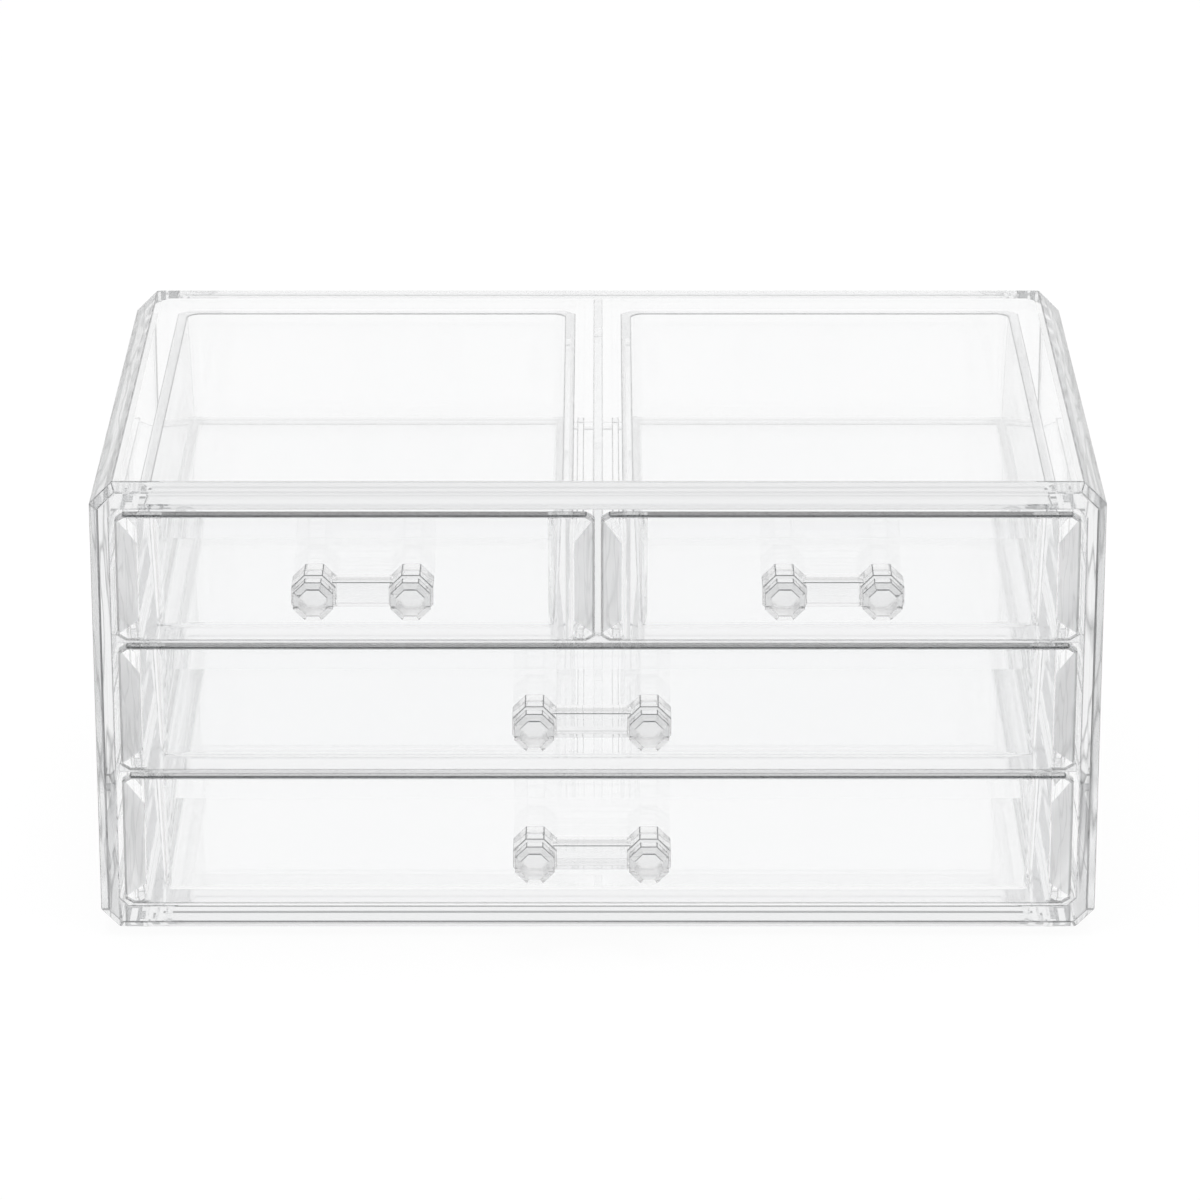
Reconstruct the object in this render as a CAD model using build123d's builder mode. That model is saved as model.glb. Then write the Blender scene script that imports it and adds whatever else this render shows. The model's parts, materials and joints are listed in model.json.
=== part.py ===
from build123d import *
import os
from math import atan2, degrees

# Clear moulded desktop box: two half-width drawers over two full-width drawers
# Millimetres, +Z up, +X to the right of someone facing the drawers, the drawers open towards -Y
# Origin under the middle of the whole object, handles included, on the surface it stands on

# Case
case_width = 235.0
case_depth = 155.0
case_height = 111.3
side_wall = 4.7
top_wall = 6.25
base_wall = 6.2
back_wall = 4.3
top_edge_cut = 5.4
base_edge_cut = 4.4
rim_bevel = 2.0
opening_corner_cut = 2.0
inner_back_corner_cut = 4.0

# Feet
foot_height = 1.6
foot_diameter = 10.4
foot_inset = 10.0
foot_edge_cut = 0.6

# Shelves, divider and the low ribs that keep the drawers straight
shelf_thickness = 2.2
divider_thickness = 2.4
rib_height = 2.4
rib_width = 1.8

# Drawer fronts
front_gap = 1.4
front_side_gap = 1.2
bottom_front_extra = 1.4
front_thickness = 5.2
front_edge_thickness = 3.2
front_corner_cut_across = 2.0
front_corner_cut_up = 1.2
front_edge_bevel = 0.35
front_back_bevel_sides = 4.8
front_back_bevel_top = 6.6
front_back_bevel_bottom = 3.0

# Drawer boxes
box_inset = 5.0
box_wall = 2.6
box_floor = 1.8
box_back_cut = 2.5
box_edge_cut = 1.0
tray_draft = 2.5
tray_corner_radius = 3.2
tray_floor_radius = 1.6

# Handles: eight-sided knobs, given as length and width across flats of each step
handle_spacing_pair = 22.4
handle_spacing_wide = 26.6
handle_shift_pair = 2.0
handle_shift_wide = -1.4
handle_drop_pair = 0.7
handle_drop_wide = 0.6
knob_neck_flats = 8.0
knob_back_flats = 10.2
knob_groove_flats = 8.8
knob_front_flats = 9.2
knob_face_flats = 6.4
knob_neck_length = 1.8
knob_back_length = 7.9
knob_groove_length = 0.7
knob_front_length = 2.9
knob_face_length = 1.1
bar_height = 6.0
bar_depth = 5.7
bar_ridge = 0.35
bar_reach = 3.1

# Clearances
glide_gap = 0.3
rim_gap = 0.4
shelf_setback = 0.4
rib_gap = 0.4
box_back_gap = 1.0
bond_gap = 0.1

# Levels, from the surface up
base_z = foot_height
floor_z = base_z + base_wall
ceiling_z = base_z + case_height - top_wall

# Knob, from the front plate outwards: length of each step, and its width across flats at both ends
knob_steps = [
    (knob_neck_length, knob_neck_flats, knob_back_flats),
    (knob_back_length, knob_back_flats, knob_back_flats),
    (knob_groove_length, knob_groove_flats, knob_groove_flats),
    (knob_front_length, knob_front_flats, knob_front_flats),
    (knob_face_length, knob_front_flats, knob_face_flats),
]
handle_reach = bond_gap + sum(length for length, _, _ in knob_steps)

# Depths, with the whole object centred, handles included
front_y = (handle_reach - case_depth) / 2
back_y = front_y + case_depth - back_wall
shelf_front_y = front_y + front_thickness + shelf_setback

# Three tiers of drawers share the height of the opening, and the bottom front is a little taller
tiers = 3
opening_width = case_width - 2 * side_wall
fronts_together = ceiling_z - floor_z - glide_gap - tiers * front_gap
front_height = (fronts_together - bottom_front_extra) / tiers
front_heights = [front_height + bottom_front_extra, front_height, front_height]
front_bottoms = [floor_z + glide_gap + sum(front_heights[:tier]) + tier * front_gap for tier in range(tiers)]

# Each box stops short of the shelf over it
box_drop = glide_gap + shelf_thickness + rim_gap - front_gap
box_front_y = front_y + front_edge_thickness
box_back_y = back_y - box_back_gap

# Ribs run the length of a shelf, short of the cut corners at its back
rib_length = back_y - bond_gap - inner_back_corner_cut - shelf_front_y
rib_middle_y = shelf_front_y + rib_length / 2

# Drawers: name, middle of the front along X, its width, its tier, and the handle's shift, drop and spacing
wide_front = opening_width - 2 * front_side_gap
pair_front = (wide_front - front_gap) / 2
pair_x = (pair_front + front_gap) / 2
drawers = [
    ("top_left", -pair_x, pair_front, 2, (handle_shift_pair, handle_drop_pair, handle_spacing_pair)),
    ("top_right", pair_x, pair_front, 2, (-handle_shift_pair, handle_drop_pair, handle_spacing_pair)),
    ("middle", 0.0, wide_front, 1, (handle_shift_wide, handle_drop_wide, handle_spacing_wide)),
    ("bottom", 0.0, wide_front, 0, (handle_shift_wide, handle_drop_wide, handle_spacing_wide)),
]


def upright(y):
    """Sketch plane that faces the front, at depth y: sketch x is X and sketch y is Z."""
    return Plane.XZ.offset(-y)


def rib_places(tier):
    """Middles, along X, of the ribs beside every drawer box of a tier."""
    places = []
    for _, middle_x, front_width, drawer_tier, _ in drawers:
        if drawer_tier == tier:
            reach = front_width / 2 - box_inset + rib_gap + rib_width / 2
            places += [(middle_x - reach, rib_middle_y), (middle_x + reach, rib_middle_y)]
    return places


def cut_corners(middle_x, low_z, width, height):
    """Corner points of an upright rectangle with its four corners cut."""
    corners = []
    for side_x, side_z in ((1, -1), (1, 1), (-1, 1), (-1, -1)):
        corner_x = middle_x + side_x * width / 2
        corner_z = low_z + height / 2 + side_z * height / 2
        cuts = [
            (corner_x - side_x * front_corner_cut_across, corner_z),
            (corner_x, corner_z - side_z * front_corner_cut_up),
        ]
        corners += cuts if side_x * side_z < 0 else cuts[::-1]
    return corners


os.makedirs("parts", exist_ok=True)


# Case: a bar of the outer section, bevelled at both ends and bored out from the front
with BuildPart() as case_shell:
    with BuildSketch(upright(front_y)) as section:
        with Locations((0, base_z + case_height / 2)):
            Rectangle(case_width, case_height)
        chamfer(section.vertices().group_by(Axis.Y)[-1], top_edge_cut)
        chamfer(section.vertices().group_by(Axis.Y)[0], base_edge_cut)
    extrude(amount=-case_depth)
    chamfer(case_shell.faces().filter_by(Axis.Y).edges(), rim_bevel)
    with BuildSketch(upright(front_y)) as opening:
        with Locations((0, (floor_z + ceiling_z) / 2)):
            Rectangle(opening_width, ceiling_z - floor_z)
        chamfer(opening.vertices(), opening_corner_cut)
    extrude(amount=-(case_depth - back_wall), mode=Mode.SUBTRACT)
    inner_corners = case_shell.faces().filter_by(Plane.XZ).sort_by(Axis.Y)[-2].edges().filter_by(Axis.Z)
    chamfer(inner_corners, inner_back_corner_cut)
    with BuildSketch(Plane.XY.offset(floor_z)):
        with Locations(*rib_places(0)):
            Rectangle(rib_width, rib_length)
    extrude(amount=rib_height)
case_shell.part.label = "case_shell"
export_step(case_shell.part, "parts/case_shell.step")

# Shelves: panels bonded between the side walls, with ribs beside the drawers that run on them
shelf_width = opening_width - 2 * bond_gap
shelf_depth = back_y - bond_gap - shelf_front_y
for name, tier in (("lower_shelf", 1), ("upper_shelf", 2)):
    shelf_top = front_bottoms[tier] - glide_gap
    with BuildPart() as shelf:
        with BuildSketch(Plane.XY.offset(shelf_top - shelf_thickness)) as panel:
            with Locations((0, shelf_front_y + shelf_depth / 2)):
                Rectangle(shelf_width, shelf_depth)
            chamfer(panel.vertices().group_by(Axis.Y)[-1], inner_back_corner_cut)
        extrude(amount=shelf_thickness)
        with BuildSketch(Plane.XY.offset(shelf_top)):
            with Locations(*rib_places(tier)):
                Rectangle(rib_width, rib_length)
        extrude(amount=rib_height)
    shelf.part.label = name
    export_step(shelf.part, f"parts/{name}.step")

# Divider: an upright panel between the upper shelf and the top of the case
divider_bottom = front_bottoms[2] - glide_gap + bond_gap
with BuildPart() as centre_divider:
    with BuildSketch(Plane.XY.offset(divider_bottom)):
        with Locations((0, shelf_front_y + shelf_depth / 2)):
            Rectangle(divider_thickness, shelf_depth)
    extrude(amount=ceiling_z - bond_gap - divider_bottom)
centre_divider.part.label = "centre_divider"
export_step(centre_divider.part, "parts/centre_divider.step")

# Feet: round soft bumpers, stuck under the corners of the base
foot_x = case_width / 2 - foot_inset
foot_front_y = front_y + foot_inset
foot_back_y = front_y + case_depth - foot_inset
feet = {
    "foot_front_left": (-foot_x, foot_front_y),
    "foot_front_right": (foot_x, foot_front_y),
    "foot_back_left": (-foot_x, foot_back_y),
    "foot_back_right": (foot_x, foot_back_y),
}
for name, place in feet.items():
    with BuildPart() as foot:
        with BuildSketch(Plane.XY):
            with Locations(place):
                Circle(foot_diameter / 2)
        extrude(amount=foot_height - bond_gap)
        chamfer(foot.edges().group_by(Axis.Z)[0], foot_edge_cut)
    foot.part.label = name
    export_step(foot.part, f"parts/{name}.step")

# Drawers: a block behind a front plate with a bevelled back, hollowed from above with drafted walls
for name, middle_x, front_width, tier, _ in drawers:
    bottom_z = front_bottoms[tier]
    plate_top = bottom_z + front_heights[tier]
    rim_z = plate_top - box_drop
    box_width = front_width - 2 * box_inset
    tray_width = box_width - 2 * box_wall
    tray_front_y = front_y + front_thickness
    tray_back_y = box_back_y - box_wall
    tray_middle = (middle_x, (tray_front_y + tray_back_y) / 2)
    plate_width = front_width - 2 * front_back_bevel_sides
    plate_low_z = bottom_z + front_back_bevel_bottom
    plate_height = plate_top - front_back_bevel_top - plate_low_z
    with BuildPart() as drawer:
        with BuildSketch(Plane.XY.offset(bottom_z)) as footprint:
            with Locations((middle_x, (box_front_y + box_back_y) / 2)):
                Rectangle(box_width, box_back_y - box_front_y)
            chamfer(footprint.vertices().group_by(Axis.Y)[-1], box_back_cut)
        extrude(amount=rim_z - bottom_z)
        chamfer(drawer.edges().group_by(Axis.Z)[0].filter_by(Axis.Y), box_edge_cut)
        with BuildSketch(upright(front_y)):
            Polygon(*cut_corners(middle_x, bottom_z, front_width, front_heights[tier]), align=None)
        extrude(amount=-front_edge_thickness)
        chamfer(drawer.faces().sort_by(Axis.Y)[0].edges(), front_edge_bevel)
        with BuildSketch(upright(front_y + front_edge_thickness)):
            Polygon(*cut_corners(middle_x, bottom_z, front_width, front_heights[tier]), align=None)
        with BuildSketch(upright(front_y + front_thickness)):
            Polygon(*cut_corners(middle_x, plate_low_z, plate_width, plate_height), align=None)
        loft(ruled=True)
        with BuildSketch(Plane.XY.offset(rim_z)):
            with Locations(tray_middle):
                RectangleRounded(tray_width, tray_back_y - tray_front_y, tray_corner_radius)
        extrude(amount=bottom_z + box_floor - rim_z, taper=tray_draft, mode=Mode.SUBTRACT)
        tray_floor = drawer.faces().filter_by(Plane.XY).group_by(Axis.Z)[1]
        fillet(tray_floor.edges(), tray_floor_radius)
        with BuildSketch(Plane.YZ.offset(middle_x - tray_width / 2 + tray_corner_radius)):
            with BuildLine():
                Polyline(
                    (box_front_y, plate_top),
                    (tray_front_y, plate_top),
                    (tray_front_y, plate_top - front_back_bevel_top),
                    close=True,
                )
            make_face()
        extrude(amount=tray_width - 2 * tray_corner_radius, mode=Mode.SUBTRACT)
    drawer.part.label = f"drawer_{name}"
    export_step(drawer.part, f"parts/drawer_{name}.step")

# Handles: eight-sided knobs in steps, joined by a bar with a ridge along its middle
bar_back_y = front_y - bar_reach
bar_front_y = bar_back_y - bar_depth
for name, middle_x, _, tier, (shift, drop, spacing) in drawers:
    handle_x = middle_x + shift
    handle_z = front_bottoms[tier] + front_heights[tier] / 2 - drop
    with BuildPart() as handle:
        for knob_x in (handle_x - spacing / 2, handle_x + spacing / 2):
            step_y = front_y - bond_gap
            for length, start_flats, end_flats in knob_steps:
                with BuildSketch(upright(step_y)):
                    with Locations((knob_x, handle_z)):
                        RegularPolygon(start_flats / 2, 8, major_radius=False, rotation=22.5)
                extrude(amount=length, taper=degrees(atan2((start_flats - end_flats) / 2, length)))
                step_y -= length
        with BuildSketch(Plane.YZ.offset(handle_x - spacing / 2)):
            with BuildLine():
                Polyline(
                    (bar_front_y, handle_z - bar_height / 2),
                    (bar_back_y, handle_z - bar_height / 2),
                    (bar_back_y + bar_ridge, handle_z),
                    (bar_back_y, handle_z + bar_height / 2),
                    (bar_front_y, handle_z + bar_height / 2),
                    (bar_front_y - bar_ridge, handle_z),
                    close=True,
                )
            make_face()
        extrude(amount=spacing)
    handle.part.label = f"handle_{name}"
    export_step(handle.part, f"parts/handle_{name}.step")
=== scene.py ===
# %% [markdown]
# A small clear box with two half-width drawers over two full-width ones, on a white table.
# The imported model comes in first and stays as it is. It fixes where every piece sits and how
# the drawers slide, so each piece made below is a finished copy of one of its solids.

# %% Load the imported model
import json
import math

import bmesh
import bpy
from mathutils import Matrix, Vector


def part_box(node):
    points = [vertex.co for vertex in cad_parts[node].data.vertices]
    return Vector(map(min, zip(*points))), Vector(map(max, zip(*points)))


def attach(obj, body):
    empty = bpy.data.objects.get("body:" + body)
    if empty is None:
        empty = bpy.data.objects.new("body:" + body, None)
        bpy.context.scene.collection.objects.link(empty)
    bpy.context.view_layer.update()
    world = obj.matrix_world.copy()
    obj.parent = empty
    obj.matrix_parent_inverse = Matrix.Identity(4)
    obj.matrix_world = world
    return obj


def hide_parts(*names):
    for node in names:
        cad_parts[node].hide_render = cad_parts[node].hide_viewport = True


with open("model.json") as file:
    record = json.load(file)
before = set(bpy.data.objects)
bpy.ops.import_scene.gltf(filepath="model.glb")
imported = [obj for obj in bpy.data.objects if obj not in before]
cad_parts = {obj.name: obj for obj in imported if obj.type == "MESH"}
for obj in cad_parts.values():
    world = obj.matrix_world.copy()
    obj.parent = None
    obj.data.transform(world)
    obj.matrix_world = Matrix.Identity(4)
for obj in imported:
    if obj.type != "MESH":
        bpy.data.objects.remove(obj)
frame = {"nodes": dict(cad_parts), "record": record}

scene = bpy.context.scene
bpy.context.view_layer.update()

# %% [markdown]
# The picture was taken from straight ahead with a long lens, looking down by about twenty degrees.
# An orthographic camera could stand for so long a lens, but the sides still close in towards the
# back a little, so this is a perspective camera that stands well over a metre away.

# %% Camera
CAMERA_PLACE = (0.0005, -1.35055, 0.5493)
CAMERA_PITCH = 19.95
CAMERA_LENS = 176.36
SENSOR_WIDTH = 36.0
NEAREST_SEEN = 0.05
FARTHEST_SEEN = 50.0

lens = bpy.data.cameras.new("camera")
lens.sensor_width = SENSOR_WIDTH
lens.lens = CAMERA_LENS
lens.clip_start = NEAREST_SEEN
lens.clip_end = FARTHEST_SEEN
camera = bpy.data.objects.new("camera", lens)
camera.location = CAMERA_PLACE
camera.rotation_euler = (math.radians(90.0 - CAMERA_PITCH), 0.0, 0.0)
scene.collection.objects.link(camera)
scene.camera = camera
print("camera", CAMERA_PLACE, "lens", CAMERA_LENS)

# %% [markdown]
# Materials are small programs of nodes. Wiring them one by one hides the thought behind them, so
# one class stands for a socket and lets the maths be written as plain expressions, and another
# adds any other node from its type, its settings and what goes into its sockets.

# %% Shader expressions
class Signal:
    """One socket of a node tree. Arithmetic on it adds Math nodes."""

    def __init__(self, tree, socket):
        self.tree = tree
        self.socket = socket

    def math(self, operation, first, second):
        node = self.tree.nodes.new("ShaderNodeMath")
        node.operation = operation
        feed(self.tree, node.inputs[0], first)
        feed(self.tree, node.inputs[1], second)
        return Signal(self.tree, node.outputs[0])

    def __add__(self, other):
        return self.math("ADD", self, other)

    def __radd__(self, other):
        return self.math("ADD", other, self)

    def __sub__(self, other):
        return self.math("SUBTRACT", self, other)

    def __rsub__(self, other):
        return self.math("SUBTRACT", other, self)

    def __mul__(self, other):
        return self.math("MULTIPLY", self, other)

    def __rmul__(self, other):
        return self.math("MULTIPLY", other, self)

    def size(self):
        return self.math("ABSOLUTE", self, 0.0)

    def at_most(self, other):
        return self.math("MINIMUM", self, other)

    def above(self, other):
        return self.math("GREATER_THAN", self, other)


def feed(tree, entry, value):
    """Links a signal to a node's entry, or sets a plain value there."""
    if isinstance(value, Signal):
        tree.links.new(value.socket, entry)
    else:
        entry.default_value = value


# %% Any other node
# The colour sockets of a Mix node share their names with its others, so they go by number
MIX_FIRST = 6
MIX_SECOND = 7
MIX_RESULT = 2


class Wiring:
    """A node tree that starts empty."""

    def __init__(self, owner):
        owner.use_nodes = True
        self.tree = owner.node_tree
        self.tree.nodes.clear()

    def add(self, kind, settings=None, inputs=None, output=0):
        """Adds a node: settings first, then its sockets. Returns the named output."""
        node = self.tree.nodes.new(kind)
        for key, value in (settings or {}).items():
            if key == "stops":
                ramp_stops(node.color_ramp, value)
            else:
                setattr(node, key, value)
        for key, value in (inputs or {}).items():
            feed(self.tree, node.inputs[key], value)
        return Signal(self.tree, node.outputs[output]) if node.outputs else None


def ramp_stops(ramp, stops):
    """Gives a colour ramp grey stops, from a list of place and brightness."""
    while len(ramp.elements) < len(stops):
        ramp.elements.new(1.0)
    for element, (place, grey) in zip(ramp.elements, stops):
        element.position = place
        element.color = (grey, grey, grey, 1.0)


# %% [markdown]
# The real box is moulded in clear plastic, probably polystyrene, and its walls aren't as true as
# plate glass. The melt flowed and cooled along them, which leaves slow waves. They could be real
# dents in the mesh, but they are only thousandths of a millimetre deep, so a weak bump from a
# stretched noise does it. The walls that face sideways show them most.

# %% Waves in the walls
WAVE_STRETCH = (1.0, 0.14, 0.16)
WAVE_DETAIL = 1.5
WAVE_ROUGHNESS = 0.45
CALM_SHARE = 0.06


def wavy_normal(wiring, place, wave_size, wave_height):
    """A bump of slow waves, strongest on faces that look sideways. Sizes are in metres."""
    facing = wiring.add("ShaderNodeTexCoord", output="Normal")
    sideways = wiring.add("ShaderNodeSeparateXYZ", inputs={"Vector": facing}, output="X")
    stretched = wiring.add("ShaderNodeMapping", inputs={"Vector": place, "Scale": WAVE_STRETCH})
    wave = wiring.add(
        "ShaderNodeTexNoise",
        inputs={
            "Vector": stretched,
            "Scale": 1.0 / wave_size,
            "Detail": WAVE_DETAIL,
            "Roughness": WAVE_ROUGHNESS,
        },
    )
    height = wave * (CALM_SHARE + sideways * sideways)
    return wiring.add(
        "ShaderNodeBump", inputs={"Height": height, "Strength": 1.0, "Distance": wave_height}
    )


# %% [markdown]
# The flow of the melt also leaves thin lines in the thick edges of the case and the sides of the
# drawer fronts, which bend the light and look dark. Here that dark is painted shade in the colour.
# Each could be drawn as a curve, but they are many and irregular. A noise that is stretched along
# the walls has such lines in it: they are its contours at the middle value.

# %% Flow lines
FLOW_STRETCH = (1.0, 0.07, 0.09)
FLOW_DETAIL = 1.0
FLOW_BEND = 0.4
FLOW_LEVEL = 0.5
FLOW_SHARP = 17.0
# How dark the painted shade in a flow line is
FLOW_DARK = 0.7


def flow_lines(wiring, place, flow_size, flow_from):
    """Thin lines of painted shade along the walls, further than flow_from from the middle, in
    metres.
    """
    along = wiring.add("ShaderNodeMapping", inputs={"Vector": place, "Scale": FLOW_STRETCH})
    flow = wiring.add(
        "ShaderNodeTexNoise",
        inputs={
            "Vector": along,
            "Scale": 1.0 / flow_size,
            "Detail": FLOW_DETAIL,
            "Distortion": FLOW_BEND,
        },
    )
    contour = 1.0 - ((flow - FLOW_LEVEL).size() * FLOW_SHARP).at_most(1.0)
    across = wiring.add("ShaderNodeSeparateXYZ", inputs={"Vector": place}, output="X")
    return contour * FLOW_DARK * across.size().above(flow_from)


# %% [markdown]
# The finish puts these together. Handling leaves a faint haze in patches, which is a little
# roughness that comes and goes, and a long way through the plastic takes a little light, which is
# a thin absorbing volume. Where the finish changes from face to face, the piece says so by three
# marks on its faces, each from 0 to 1: one for painted shade, one for a satin skin and one for flow
# lines. The painted shade is a dark grey in the colour that stands in for the dark lines and tones
# that refraction and light trapped in the plastic give its edges and facets. A painted picture
# could say the same, but marks need none and stay sharp from close by.

# %% Clear plastic
SHADE_MARK = "edge_line"
SOFT_MARK = "soft_face"
FLOW_MARK = "flow_line"
CLEAR_WHITE = (0.990, 0.991, 0.992, 1.0)
# Painted shade: the dark grey that the shade marks mix into the clear base colour
PAINTED_SHADE_GREY = (0.03, 0.032, 0.034, 1.0)
DEPTH_TONE = (0.80, 0.805, 0.81, 1.0)
PATCH_SCALE = 26.0
PATCH_DETAIL = 4.0
PATCH_ROUGHNESS = 0.6


def clear_plastic(
    name, ior, haze, soft_haze, wave_size, wave_height, density, flow_size, flow_from
):
    """Clear moulded plastic. Sizes are in metres, haze is the most roughness, density per metre."""
    material = bpy.data.materials.new(name)
    wiring = Wiring(material)
    place = wiring.add("ShaderNodeTexCoord", output="Object")
    edge, soft, flowing = [
        wiring.add("ShaderNodeAttribute", {"attribute_name": mark}, output="Fac")
        for mark in (SHADE_MARK, SOFT_MARK, FLOW_MARK)
    ]
    # Painted shade from the edge marks and the flow lines, which turns the base colour dark grey
    dark = (edge + flowing * flow_lines(wiring, place, flow_size, flow_from)).at_most(1.0)
    tone = wiring.add(
        "ShaderNodeMix",
        {"data_type": "RGBA"},
        {"Factor": dark, MIX_FIRST: CLEAR_WHITE, MIX_SECOND: PAINTED_SHADE_GREY},
        output=MIX_RESULT,
    )
    patch = wiring.add(
        "ShaderNodeTexNoise",
        inputs={
            "Vector": place,
            "Scale": PATCH_SCALE,
            "Detail": PATCH_DETAIL,
            "Roughness": PATCH_ROUGHNESS,
        },
    )
    skin = wiring.add(
        "ShaderNodeBsdfPrincipled",
        inputs={
            "Base Color": tone,
            "Roughness": patch * patch * haze + soft * soft_haze,
            "IOR": ior,
            "Transmission Weight": 1.0,
            "Normal": wavy_normal(wiring, place, wave_size, wave_height),
        },
    )
    inside = wiring.add(
        "ShaderNodeVolumeAbsorption", inputs={"Color": DEPTH_TONE, "Density": density}
    )
    wiring.add("ShaderNodeOutputMaterial", inputs={"Surface": skin, "Volume": inside})
    print("finish", name, "nodes", len(material.node_tree.nodes))
    return material


# %% [markdown]
# The case, the drawers and the handles are the same plastic, moulded in different tools: the
# thick case shows the strongest waves and only flows at its sides, and the satin is strongest on
# the drawer fronts. The feet are softer, hazier and take more light. One function with a row of
# values for each keeps the four alike where they should be.

# %% The four finishes
FINISHES = {
    "clear_case": dict(
        ior=1.57, haze=0.02, soft_haze=0.16, wave_size=0.011, wave_height=0.000003, density=4.0,
        flow_size=0.0024, flow_from=0.1125,
    ),
    "clear_drawer": dict(
        ior=1.57, haze=0.02, soft_haze=0.30, wave_size=0.009, wave_height=0.0000015, density=2.5,
        flow_size=0.0015, flow_from=0.0,
    ),
    "clear_handle": dict(
        ior=1.57, haze=0.015, soft_haze=0.26, wave_size=0.006, wave_height=0.000001, density=3.0,
        flow_size=0.002, flow_from=0.0,
    ),
    "clear_foot": dict(
        ior=1.47, haze=0.12, soft_haze=0.10, wave_size=0.004, wave_height=0.000004, density=25.0,
        flow_size=0.002, flow_from=0.0,
    ),
}
finishes = {name: clear_plastic(name, **values) for name, values in FINISHES.items()}

# %% [markdown]
# No moulded edge is truly sharp, and on clear plastic a softened edge bends the light into a thin
# dark line. Those lines are most of what the eye sees of the box, so each piece gets its hard
# outward edges rounded by 0.15 to 0.3 mm. A Bevel modifier could round them, but the operator also
# hands back the faces that it adds, and those faces carry the lines as painted shade, a dark tone
# in their colour. On the handles, edges shorter than a millimetre stay sharp, because rounding
# folds the narrow rings there.

# %% Rounded edges
WELD = 0.000002
FLAT_ENOUGH = math.radians(0.4)
HARD_EDGE = math.radians(28.0)
EDGE_ROUND = {"case": 0.0003, "drawer": 0.0003, "handle": 0.00015, "foot": 0.0002}
SHORTEST_ROUND = {"case": 0.0, "drawer": 0.0, "handle": 0.001, "foot": 0.0}
SEGMENTS = 2


def merge_flat(mesh):
    """Welds loose triangles and joins the ones that lie in one plane."""
    bmesh.ops.remove_doubles(mesh, verts=mesh.verts, dist=WELD)
    bmesh.ops.dissolve_limit(
        mesh, angle_limit=FLAT_ENOUGH, verts=mesh.verts, edges=mesh.edges, delimit=set()
    )


def round_edges(mesh, kind):
    """Rounds the hard outward edges and returns the faces that this adds."""
    hard = [
        e for e in mesh.edges
        if e.is_convex and e.calc_face_angle() > HARD_EDGE
        and e.calc_length() > SHORTEST_ROUND[kind]
    ]
    rounded = bmesh.ops.bevel(
        mesh, geom=hard, offset=EDGE_ROUND[kind], offset_type="OFFSET", affect="EDGES",
        segments=SEGMENTS, profile=0.5, material=-1, clamp_overlap=True,
    )
    return rounded["faces"]


# %% [markdown]
# The case's outer edges get dark painted shade, standing in for the lines that the light draws
# there. The edges of its mouth, its level edges and the edges deep inside get fainter and fainter
# painted shade, or they would cover what lies behind them. Its long cut corners are satin with
# flow lines, and the flat rim of its front has flow lines too. Which face is which could be listed
# by number, but the numbers change with any edit of the solid, so each face is told by where it
# lies and where it looks. The shelves and the divider follow the case.

# %% Marks on the case
# How dark the painted shade on each kind's rounded edges is, and on the case's fainter ones
EDGE_DARK = {"case": 0.8, "drawer": 0.6, "handle": 1.0, "foot": 0.3}
LEVEL_EDGE_DARK = 0.25
MOUTH_EDGE_DARK = 0.35
HIDDEN_EDGE_DARK = 0.03
OUTER_CUT = 0.0045
FRONT_DEPTH = 0.006
SLANT = (0.2, 0.95)
FACES_OUT = 0.998

case_low, case_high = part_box("case_shell")


def slanted(face):
    """Whether a face looks partly, but not straight, to a side."""
    return SLANT[0] < abs(face.normal.x) < SLANT[1]


def mark_case(mesh, rounded, marks):
    """Paints shade on the case's outer edges, fades it on the inner ones, and lets its long cut
    corners flow.
    """
    edge, soft, flow = marks
    strips = set(rounded)
    for face in mesh.faces:
        middle = face.calc_center_median()
        reach = [min(middle[i] - case_low[i], case_high[i] - middle[i]) for i in (0, 2)]
        inner = min(reach) > OUTER_CUT
        ahead = middle.y < case_low[1] + FRONT_DEPTH
        if face in strips and inner:
            face[edge] = MOUTH_EDGE_DARK if ahead else HIDDEN_EDGE_DARK
        elif face in strips and abs(face.normal.x) < SLANT[0] and middle.z > OUTER_CUT:
            face[edge] = LEVEL_EDGE_DARK
        elif face not in strips and not inner and slanted(face):
            face[soft] = face[flow] = 1.0
        elif face not in strips and face.normal.y < -FACES_OUT and ahead:
            face[flow] = 1.0


print("case box", [round(v, 4) for v in case_low], [round(v, 4) for v in case_high])

# %% [markdown]
# On a drawer the strongest lines are the narrow flat top of the front plate, called its land, and
# the rim of the tray. Light trapped in the plate darkens them, and here that dark is painted shade
# in their colour. The other edges of the tray get only a trace of it, so they almost vanish. The
# sloped sides of the front plate trap light and would show it as stripes, so they are satin with a
# few flow lines.

# %% Marks on a drawer
# Painted shade on the land's flat top and on the edges at the top of a drawer
LAND_DARK = 0.6
LAND_EDGE_DARK = 1.0
SIDE_FLOW = 0.4
BOX_SOFT = 0.4
PLATE_DEPTH = 0.0055
RIM_DEPTH = 0.004
LEVEL = 0.00002
FACING_UP = 0.99


def mark_drawer(node, mesh, rounded, marks):
    """Paints shade on the land and the rim, fades it on the tray's other edges, softens slanted
    faces.
    """
    edge, soft, flow = marks
    strips = set(rounded)
    low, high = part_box(node)
    for face in mesh.faces:
        middle = face.calc_center_median()
        in_front = middle.y < low[1] + PLATE_DEPTH
        if face in strips:
            if middle.z > high[2] - EDGE_ROUND["drawer"]:
                face[edge] = LAND_EDGE_DARK
            elif not in_front:
                face[edge] = LAND_EDGE_DARK if middle.z > high[2] - RIM_DEPTH else HIDDEN_EDGE_DARK
        elif face.normal.z > FACING_UP and min(v.co.z for v in face.verts) > high[2] - LEVEL:
            face[edge] = LAND_DARK
        elif slanted(face):
            face[soft] = 1.0 if in_front else BOX_SOFT
            face[flow] = SIDE_FLOW if in_front else 0.0


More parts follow.
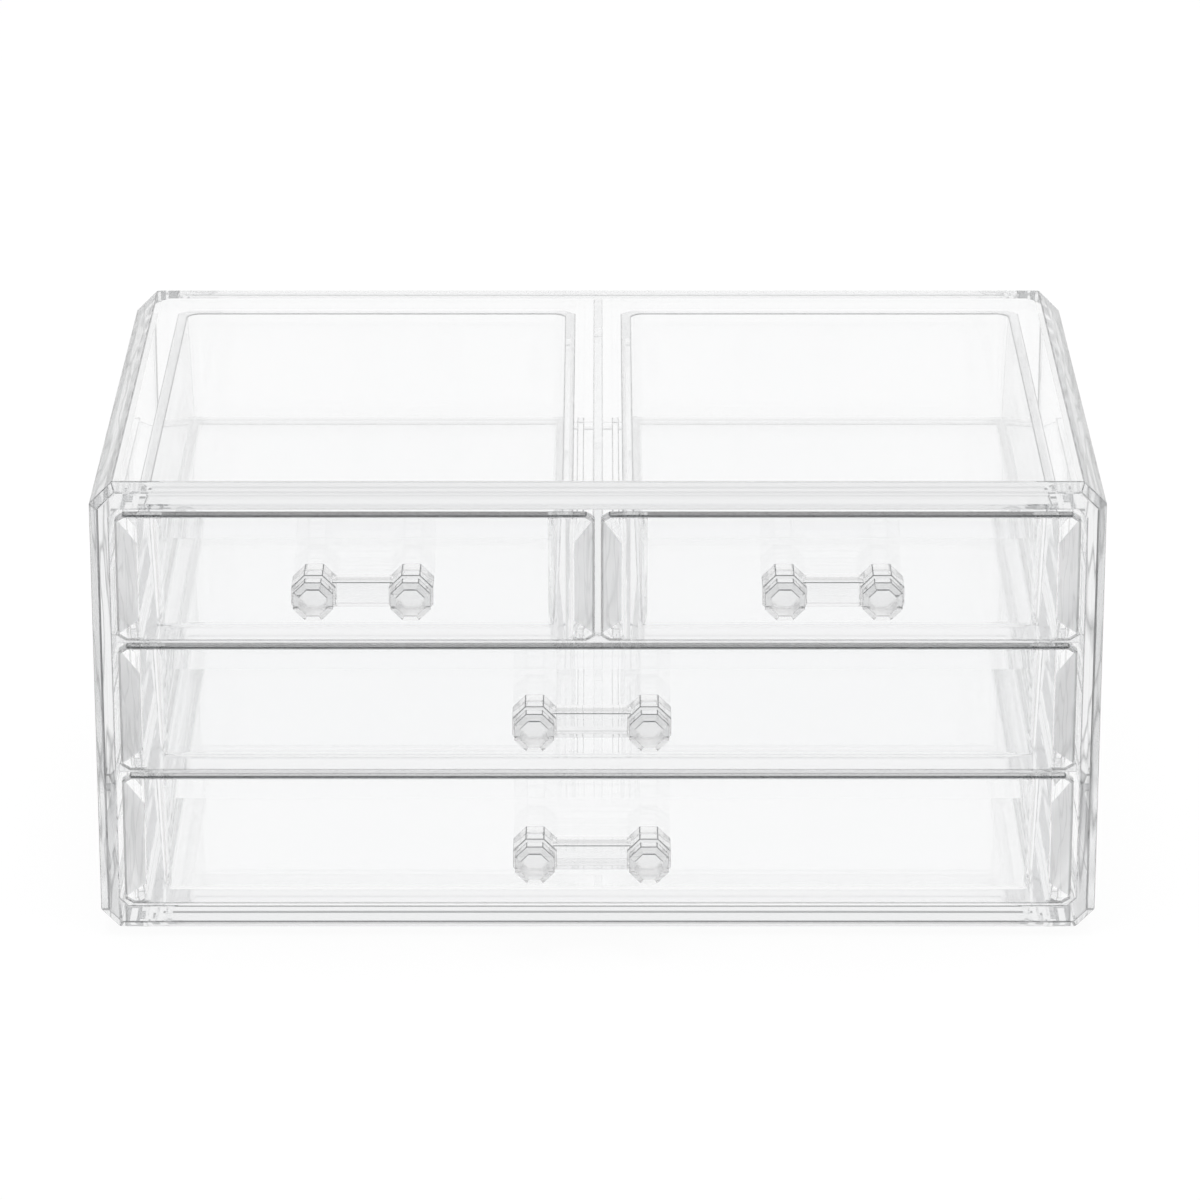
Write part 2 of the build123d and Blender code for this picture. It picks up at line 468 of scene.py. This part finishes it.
# %% [markdown]
# A knob is small and many-sided, so it reads by the tone of its facets. That tone is painted shade,
# standing in for how the facets bend the light. The sloped ring round its end gets the darkest, the
# drums behind it less, and on both the facets that look sideways get more, above more than below.
# The edges get dark painted shade above and at the sides, which fades out underneath. Faces that
# look straight ahead, such as the knob's end, are satin.

# %% Marks on a handle
# Painted shade for a handle: on edges by where they look, and on facets by ring, drum and side
LOOKS_UP = 0.15
LOWER_EDGE_DARK = 0.15
SIDE_EDGE_DARK = 0.8
FACET_DARK = 0.26
DRUM_DARK = 0.12
FACET_SIDE_DARK = 0.15
RING_OUT = 0.3
BAR_OUT = 0.9
FACES_DOWN = 0.5


def mark_handle(mesh, rounded, marks):
    """Paints shade on a handle's facets by where they look and on its edges, softens the knobs'
    ends.
    """
    edge, soft, _ = marks
    strips = set(rounded)
    for face in mesh.faces:
        across, out, up = abs(face.normal.x), -face.normal.y, face.normal.z
        if face in strips:
            below = LOWER_EDGE_DARK + SIDE_EDGE_DARK * across
            face[edge] = EDGE_DARK["handle"] if up > LOOKS_UP else below
        elif out > FACES_OUT:
            face[soft] = 1.0
        elif out < BAR_OUT and up > -FACES_DOWN:
            ring = out > RING_OUT
            face[edge] = (FACET_DARK if ring else DRUM_DARK) + FACET_SIDE_DARK * across * (1.0 + up)


# %% [markdown]
# Now every solid becomes its finished piece: a copy that is welded, rounded and marked, with flat
# faces, because the rounding already gives the edges their own narrow faces. The copy still holds
# the shading directions of the old mesh, which no longer fit, so they are dropped first.

# %% Finished pieces
def softened(node, kind):
    """Copies a node, welds it, rounds its outward edges and marks its faces."""
    piece_mesh = frame["nodes"][node].data.copy()
    piece_mesh.name = "clear_" + node
    if piece_mesh.has_custom_normals:
        piece_mesh.attributes.remove(piece_mesh.attributes["custom_normal"])
    mesh = bmesh.new()
    mesh.from_mesh(piece_mesh)
    merge_flat(mesh)
    for name in (SHADE_MARK, SOFT_MARK, FLOW_MARK):
        mesh.faces.layers.float.new(name)
    marks = [mesh.faces.layers.float[name] for name in (SHADE_MARK, SOFT_MARK, FLOW_MARK)]
    rounded = round_edges(mesh, kind)
    # Every rounded strip gets painted shade, a dark line in its colour, as dark as its kind asks
    for face in rounded:
        face[marks[0]] = EDGE_DARK[kind]
    if kind == "case":
        mark_case(mesh, rounded, marks)
    if kind == "drawer":
        mark_drawer(node, mesh, rounded, marks)
    if kind == "handle":
        mark_handle(mesh, rounded, marks)
    for face in mesh.faces:
        face.smooth = False
    open_edges = sum(not e.is_manifold for e in mesh.edges)
    mesh.to_mesh(piece_mesh)
    mesh.free()
    piece = bpy.data.objects.new("clear_" + node, piece_mesh)
    scene.collection.objects.link(piece)
    print(node, "faces", len(piece_mesh.polygons), "rounded", len(rounded), "open", open_edges)
    return piece


KIND = {
    "case_shell": "case", "upper_shelf": "case", "lower_shelf": "case", "centre_divider": "case",
}
for body, nodes in frame["record"]["behaviour"]["bodies"].items():
    for node in nodes:
        kind = KIND.get(node, node.split("_")[0])
        piece = softened(node, kind)
        piece.data.materials.clear()
        piece.data.materials.append(finishes["clear_" + kind])
        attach(piece, body)
        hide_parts(node)

# %% [markdown]
# Clear plastic shows its surroundings and little else. A dark room would draw every edge by
# itself, but it would also blacken the sloped faces. So the box stands on a white table in a room
# that is nearly white, and the painted shade of the marks above does most of the drawing. The
# table adds its own white for the camera and for what is seen in or through the plastic. It takes
# the rest of its brightness from the lamp and the room, so a faint shadow stays.

# %% Table
WHITE = (1.0, 1.0, 1.0, 1.0)
TABLE_PAINT = (0.9, 0.9, 0.9, 1.0)
TABLE_HALF = 4.0
TABLE_SEEN = 0.95
TABLE_THROUGH = 0.96

table_mesh = bpy.data.meshes.new("table")
mesh = bmesh.new()
bmesh.ops.create_grid(mesh, x_segments=1, y_segments=1, size=TABLE_HALF)
mesh.to_mesh(table_mesh)
mesh.free()
table = bpy.data.objects.new("table", table_mesh)
scene.collection.objects.link(table)

table_white = bpy.data.materials.new("table_white")
wiring = Wiring(table_white)
seen = wiring.add("ShaderNodeLightPath", output="Is Camera Ray")
mirrored = wiring.add("ShaderNodeLightPath", output="Is Glossy Ray")
through = wiring.add("ShaderNodeLightPath", output="Is Transmission Ray")
shown = (seen * TABLE_SEEN + (mirrored + through) * TABLE_THROUGH).at_most(1.0)
matt = wiring.add("ShaderNodeBsdfDiffuse", inputs={"Color": TABLE_PAINT})
glow = wiring.add("ShaderNodeEmission", inputs={"Color": WHITE, "Strength": 1.0})
surface = wiring.add("ShaderNodeMixShader", inputs={0: shown, 1: matt, 2: glow})
wiring.add("ShaderNodeOutputMaterial", inputs={"Surface": surface})
table_mesh.materials.append(table_white)
print("table", 2 * TABLE_HALF, "m wide")

# %% [markdown]
# The room is the world behind everything: white near the table, a little dimmer overhead, and
# dimmer still on the camera's side, so that the plastic has a little grey to mirror. Two ramps
# give the brightness by how steeply a ray looks up, and a third turns from the one for the
# camera's side to the one for the back. The camera itself sees plain white.

# %% Room
BACKDROP = [(0.0, 1.0), (0.75, 1.0), (0.95, 0.85)]
OPEN_SIDE = [(0.0, 1.0), (0.25, 0.98), (0.45, 0.86), (0.90, 0.78)]
TURN = [(0.35, 0.0), (0.65, 1.0)]

world = bpy.data.worlds.new("room")
scene.world = world
wiring = Wiring(world)
direction = wiring.add("ShaderNodeTexCoord", output="Generated")
height = wiring.add("ShaderNodeSeparateXYZ", inputs={"Vector": direction}, output="Z")
depth = wiring.add("ShaderNodeSeparateXYZ", inputs={"Vector": direction}, output="Y")
behind = wiring.add("ShaderNodeValToRGB", {"stops": BACKDROP}, {"Fac": height})
before = wiring.add("ShaderNodeValToRGB", {"stops": OPEN_SIDE}, {"Fac": height})
turned = wiring.add("ShaderNodeValToRGB", {"stops": TURN}, {"Fac": depth * 0.5 + 0.5})
room = wiring.add(
    "ShaderNodeMix",
    {"data_type": "RGBA"},
    {"Factor": turned, MIX_FIRST: before, MIX_SECOND: behind},
    output=MIX_RESULT,
)
seen = wiring.add("ShaderNodeLightPath", output="Is Camera Ray")
shade = wiring.add(
    "ShaderNodeMix",
    {"data_type": "RGBA"},
    {"Factor": seen, MIX_FIRST: room, MIX_SECOND: WHITE},
    output=MIX_RESULT,
)
sky = wiring.add("ShaderNodeBackground", inputs={"Color": shade, "Strength": 1.0})
wiring.add("ShaderNodeOutputWorld", inputs={"Surface": sky})
print("room nodes", len(world.node_tree.nodes))

# %% [markdown]
# One wide lamp overhead gives the soft shadow. It is hidden from mirrored and refracted rays,
# because a bright rectangle in every facet would look like a window.

# %% Lamp
LAMP_PLACE = (0.0, -0.1, 1.6)
LAMP_SIZE = (0.9, 0.7)
LAMP_WATTS = 17.0

lamp_data = bpy.data.lights.new("lamp", "AREA")
lamp_data.shape = "RECTANGLE"
lamp_data.size, lamp_data.size_y = LAMP_SIZE
lamp_data.energy = LAMP_WATTS
lamp = bpy.data.objects.new("lamp", lamp_data)
lamp.location = LAMP_PLACE
lamp.visible_glossy = False
lamp.visible_transmission = False
scene.collection.objects.link(lamp)
print("lamp", LAMP_WATTS, "W at", LAMP_PLACE)

# %% [markdown]
# Light that enters a sloped side of a drawer front runs along inside the plate, from face to face,
# before it gets out. A render that gives it up early turns those sides grey, so the paths may be
# long here. That costs little time, because few paths need it.

# %% Light paths and the colour transform
LIGHT_BOUNCES = 160

scene.cycles.max_bounces = LIGHT_BOUNCES
scene.cycles.transmission_bounces = LIGHT_BOUNCES
scene.cycles.glossy_bounces = LIGHT_BOUNCES
scene.view_settings.view_transform = "Standard"
print("bounces", LIGHT_BOUNCES)
